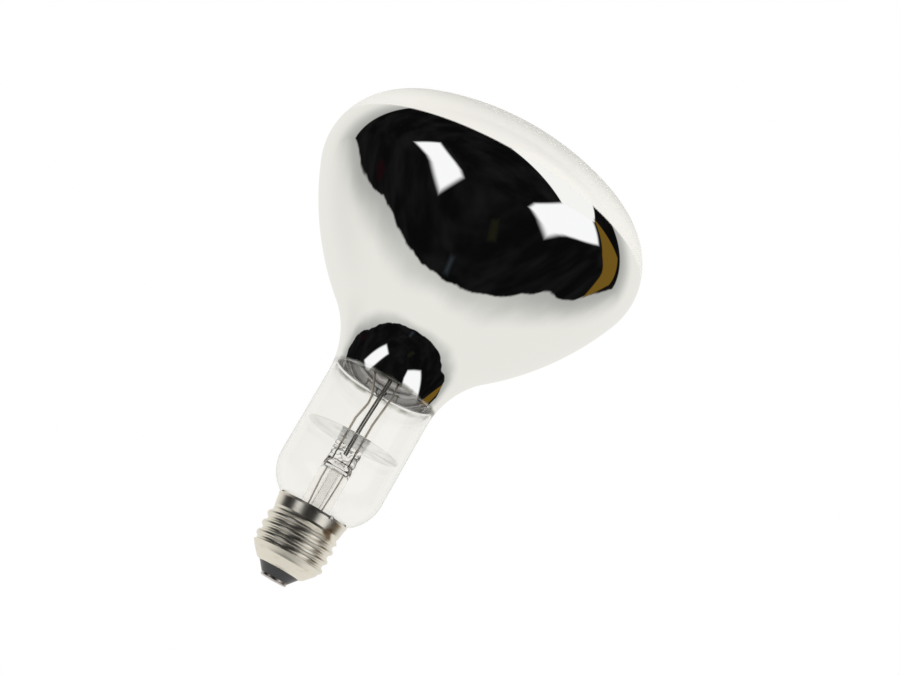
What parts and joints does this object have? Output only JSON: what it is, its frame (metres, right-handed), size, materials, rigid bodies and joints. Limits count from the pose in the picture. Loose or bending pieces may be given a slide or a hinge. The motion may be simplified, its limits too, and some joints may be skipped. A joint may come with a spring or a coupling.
{
  "type": "infrared heat bulb",
  "caption": "Reflector heat bulb: blown glass with a mirrored cone, satin front and clear neck, on an E27 screw cap.",
  "frame": {"origin": "centre of the lower face of the cap's centre contact", "axes": "+Z along the bulb's axis from the cap to the front; +X towards the right-hand lead wire as the picture shows it"},
  "size_m": [0.126, 0.126, 0.182],
  "materials": {
    "clear_glass": "clear blown glass in the neck and satin on the front",
    "mirror_film": "bright evaporated aluminium",
    "stem_glass": "clear pressed glass",
    "shield_metal": "bright rolled sheet",
    "tungsten": "drawn tungsten coil",
    "inner_wire": "drawn nickel wire, lightly tarnished",
    "copper_wire": "copper-clad seal wire",
    "outer_wire": "drawn wire, dull",
    "cap_metal": "rolled sheet with nickel plating",
    "cement": "baked basing cement",
    "solder": "tin solder",
    "black_glass": "black insulating glass",
    "contact_metal": "plated brass, worn"
  },
  "bodies": {
    "root": {"glass_envelope": "clear_glass", "mirror_coating": "mirror_film", "glass_stem": "stem_glass", "exhaust_tube": "stem_glass", "heat_shield": "shield_metal", "filament": "tungsten", "support_wire_left": "inner_wire", "support_wire_right": "inner_wire", "inner_lead_left": "inner_wire", "inner_lead_right": "inner_wire", "seal_wire_left": "copper_wire", "seal_wire_right": "copper_wire", "outer_lead_centre": "outer_wire", "outer_lead_side": "outer_wire", "screw_shell": "cap_metal", "basing_cement": "cement", "side_weld": "solder", "cap_insulator": "black_glass", "centre_contact": "contact_metal", "contact_solder": "solder"}
  },
  "joints": []
}
